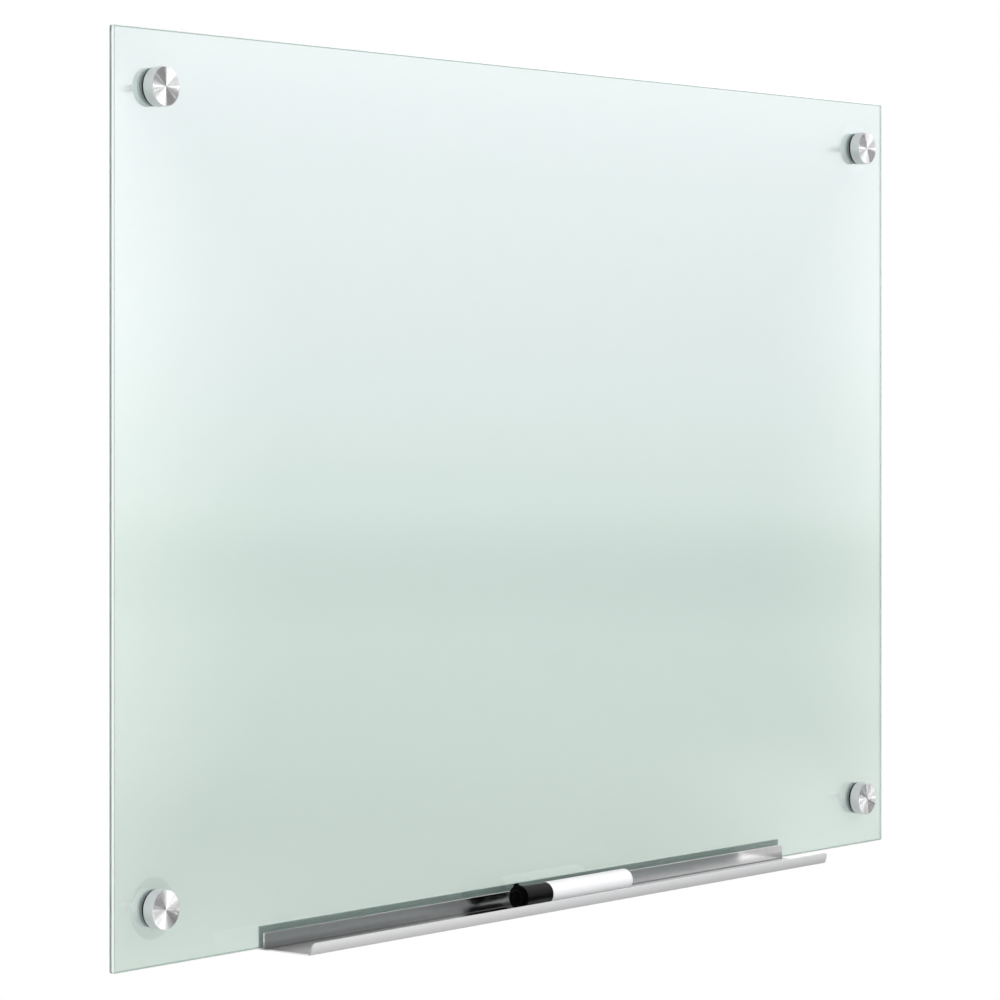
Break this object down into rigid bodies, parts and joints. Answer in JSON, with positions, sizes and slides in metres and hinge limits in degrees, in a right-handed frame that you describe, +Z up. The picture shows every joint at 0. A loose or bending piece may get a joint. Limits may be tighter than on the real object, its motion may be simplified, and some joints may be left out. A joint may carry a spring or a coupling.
{
  "type": "glass whiteboard",
  "caption": "Frosted glass writing board held off the wall by turned standoffs, with an aluminium tray gripping its bottom edge and a capped marker in the tray.",
  "frame": {"origin": "on the wall plane, at the centre of the rectangle that the four standoffs make", "axes": "+Z up, +X to the right of someone who faces the board, +Y into the wall"},
  "size_m": [0.9144, 0.0782, 0.6108],
  "materials": {
    "glass": "tempered, polished front, frosted back, pale green",
    "cap_steel": "turned face with fine concentric lines",
    "stud_steel": "hollow, threaded, plain",
    "washer_rubber": "black, matte",
    "sleeve_nylon": "translucent nylon or silicone",
    "barrel_steel": "turned",
    "screw_steel": "zinc plated",
    "tray_aluminium": "satin anodised, lines along its length",
    "grip_rubber": "black, matte, ribbed",
    "marker_white": "satin gloss, white",
    "marker_black": "satin gloss, black",
    "marker_felt": "inked felt",
    "marker_fibre": "ink-soaked fibre"
  },
  "bodies": {
    "panel": {"glass_panel": "glass", "standoff_barrel_top_left": "barrel_steel", "standoff_barrel_top_right": "barrel_steel", "standoff_barrel_bottom_left": "barrel_steel", "standoff_barrel_bottom_right": "barrel_steel", "standoff_stud_top_left": "stud_steel", "standoff_stud_top_right": "stud_steel", "standoff_stud_bottom_left": "stud_steel", "standoff_stud_bottom_right": "stud_steel", "rear_washer_top_left": "sleeve_nylon", "rear_washer_top_right": "sleeve_nylon", "rear_washer_bottom_left": "sleeve_nylon", "rear_washer_bottom_right": "sleeve_nylon", "hole_sleeve_top_left": "sleeve_nylon", "hole_sleeve_top_right": "sleeve_nylon", "hole_sleeve_bottom_left": "sleeve_nylon", "hole_sleeve_bottom_right": "sleeve_nylon", "wall_screw_top_left": "screw_steel", "wall_screw_top_right": "screw_steel", "wall_screw_bottom_left": "screw_steel", "wall_screw_bottom_right": "screw_steel"},
    "washer_top_left": {"front_washer_top_left": "washer_rubber"},
    "washer_top_right": {"front_washer_top_right": "washer_rubber"},
    "washer_bottom_left": {"front_washer_bottom_left": "washer_rubber"},
    "washer_bottom_right": {"front_washer_bottom_right": "washer_rubber"},
    "cap_top_left": {"standoff_cap_top_left": "cap_steel"},
    "cap_top_right": {"standoff_cap_top_right": "cap_steel"},
    "cap_bottom_left": {"standoff_cap_bottom_left": "cap_steel"},
    "cap_bottom_right": {"standoff_cap_bottom_right": "cap_steel"},
    "tray": {"marker_tray": "tray_aluminium", "tray_grip_strip": "grip_rubber"},
    "marker": {"marker_barrel": "marker_white", "marker_end_plug": "marker_white", "marker_nib_holder": "marker_black", "marker_nib": "marker_felt", "marker_reservoir": "marker_fibre"},
    "marker_cap": {"marker_cap": "marker_black"}
  },
  "joints": [
    {"name": "washer_travel_top_left", "type": "slide", "parent": "panel", "child": "washer_top_left", "axis": [0, -1, 0], "range_m": [0, 0.006]},
    {"name": "cap_turn_top_left", "type": "hinge", "parent": "washer_top_left", "child": "cap_top_left", "pos_m": [-0.4191, -0.0123, 0.2667], "axis": [0, -1, 0], "range_deg": [0, 1440]},
    {"name": "washer_travel_top_right", "type": "slide", "parent": "panel", "child": "washer_top_right", "axis": [0, -1, 0], "range_m": [0, 0.006]},
    {"name": "cap_turn_top_right", "type": "hinge", "parent": "washer_top_right", "child": "cap_top_right", "pos_m": [0.4191, -0.0123, 0.2667], "axis": [0, -1, 0], "range_deg": [0, 1440]},
    {"name": "washer_travel_bottom_left", "type": "slide", "parent": "panel", "child": "washer_bottom_left", "axis": [0, -1, 0], "range_m": [0, 0.006]},
    {"name": "cap_turn_bottom_left", "type": "hinge", "parent": "washer_bottom_left", "child": "cap_bottom_left", "pos_m": [-0.4191, -0.0123, -0.2667], "axis": [0, -1, 0], "range_deg": [0, 1440]},
    {"name": "washer_travel_bottom_right", "type": "slide", "parent": "panel", "child": "washer_bottom_right", "axis": [0, -1, 0], "range_m": [0, 0.006]},
    {"name": "cap_turn_bottom_right", "type": "hinge", "parent": "washer_bottom_right", "child": "cap_bottom_right", "pos_m": [0.4191, -0.0123, -0.2667], "axis": [0, -1, 0], "range_deg": [0, 1440]},
    {"name": "tray_slide", "type": "slide", "parent": "panel", "child": "tray", "axis": [1, 0, 0], "range_m": [-0.142, 0.149]},
    {"name": "marker_lift", "type": "slide", "parent": "tray", "child": "marker", "axis": [0, 0, 1], "range_m": [0, 0.08]},
    {"name": "marker_cap_pull", "type": "slide", "parent": "marker", "child": "marker_cap", "axis": [-1, 0, 0], "range_m": [0, 0.04]}
  ],
  "couplings": [
    {"joint": "washer_travel_top_left", "follows": "cap_turn_top_left", "m_per_rad": 0.0002387},
    {"joint": "washer_travel_top_right", "follows": "cap_turn_top_right", "m_per_rad": 0.0002387},
    {"joint": "washer_travel_bottom_left", "follows": "cap_turn_bottom_left", "m_per_rad": 0.0002387},
    {"joint": "washer_travel_bottom_right", "follows": "cap_turn_bottom_right", "m_per_rad": 0.0002387}
  ]
}
